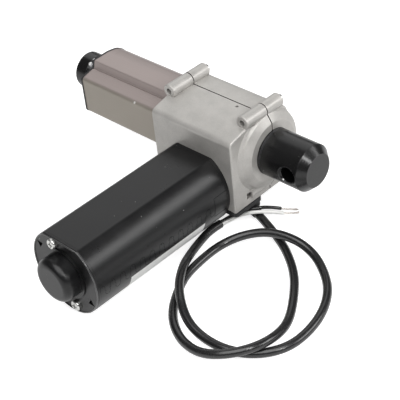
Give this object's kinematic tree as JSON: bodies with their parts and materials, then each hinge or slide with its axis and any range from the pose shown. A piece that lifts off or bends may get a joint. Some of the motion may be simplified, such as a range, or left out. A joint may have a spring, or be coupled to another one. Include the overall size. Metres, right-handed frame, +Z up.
{
  "type": "electric linear actuator",
  "caption": "Electric linear actuator with an extruded tube, a telescoping rod, a split cast gearbox, a motor set across it, a black pin-hole connector and a loose two-core cable.",
  "frame": {"origin": "centre of the rear connector's pin hole", "axes": "+X out of the rear connector along the screw axis (the rod extends towards -X), the motor points to -Y, +Z up from the side that it lies on"},
  "size_m": [0.2946, 0.2054, 0.0885],
  "materials": {
    "cast_aluminium": "as-cast, tumbled matt grey",
    "anodised_tube": "taupe anodised, satin, fine drawing lines",
    "black_steel": "black oxide, satin",
    "black_motor_paint": "black powder coat, semi-gloss",
    "zinc_screws": "zinc plated, bright",
    "bearing_steel": "ground",
    "stack_steel": "punched laminations",
    "chromed_steel": "hard chromed, ground",
    "bronze": "machined bronze",
    "copper": "turned copper",
    "enamelled_copper": "enamelled wire",
    "tinned_copper": "tinned strands",
    "ferrite": "sintered, matt",
    "carbon": "pressed carbon",
    "black_plastic": "fine grained",
    "natural_plastic": "acetal, natural",
    "circuit_board": "solder mask",
    "rubber_seal": "moulded",
    "gland_rubber": "moulded, matt",
    "cable_rubber": "extruded, satin",
    "white_insulation": "extruded, satin"
  },
  "bodies": {
    "housing": {"gearbox_front_half": "cast_aluminium", "gearbox_rear_half": "cast_aluminium", "gearbox_screws": "zinc_screws", "rear_connector": "black_steel", "screw_bearing_outer_ring": "bearing_steel", "screw_bush": "bronze", "outer_tube": "anodised_tube", "tube_end_plate": "black_plastic", "tube_end_screws": "zinc_screws", "guide_bush": "natural_plastic", "rod_wiper": "rubber_seal", "switch_strip": "circuit_board", "retracted_limit_switch": "black_plastic", "extended_limit_switch": "black_plastic", "motor_can": "black_motor_paint", "motor_front_plate": "black_motor_paint", "motor_end_plate": "black_motor_paint", "motor_rear_cap": "black_motor_paint", "motor_bolts": "zinc_screws", "motor_mount_screws": "zinc_screws", "right_magnet": "ferrite", "left_magnet": "ferrite", "brush_holder": "natural_plastic", "carbon_brushes": "carbon", "motor_front_bush": "bronze", "motor_rear_bush": "bronze", "worm_end_bush": "bronze", "wiring_cover": "black_plastic", "cover_screws": "zinc_screws", "strain_relief": "gland_rubber", "cable_jacket": "cable_rubber", "black_core": "cable_rubber", "white_core": "white_insulation", "copper_ends": "tinned_copper"},
    "armature": {"armature_shaft": "bearing_steel", "lamination_stack": "stack_steel", "armature_windings": "enamelled_copper", "commutator": "copper", "worm": "bearing_steel"},
    "screw": {"lead_screw": "bearing_steel", "worm_wheel": "bronze", "screw_bearing_inner_ring": "bearing_steel", "screw_bearing_balls": "bearing_steel", "lock_nut": "zinc_screws"},
    "rod": {"inner_tube": "chromed_steel", "drive_nut": "natural_plastic", "nut_pins": "bearing_steel", "front_connector": "black_steel"}
  },
  "joints": [
    {"name": "armature_spin", "type": "hinge", "parent": "housing", "child": "armature", "pos_m": [-0.067, 0, -0.0215], "axis": [0, -1, 0], "range_deg": [0, 40500]},
    {"name": "screw_spin", "type": "hinge", "parent": "housing", "child": "screw", "pos_m": [-0.067, 0, 0], "axis": [1, 0, 0], "range_deg": [0, 2700]},
    {"name": "rod_slide", "type": "slide", "parent": "housing", "child": "rod", "axis": [-1, 0, 0], "range_m": [0, 0.06]}
  ],
  "couplings": [
    {"joint": "screw_spin", "follows": "armature_spin", "ratio": 0.066667},
    {"joint": "rod_slide", "follows": "armature_spin", "m_per_rad": 0.000084883}
  ]
}
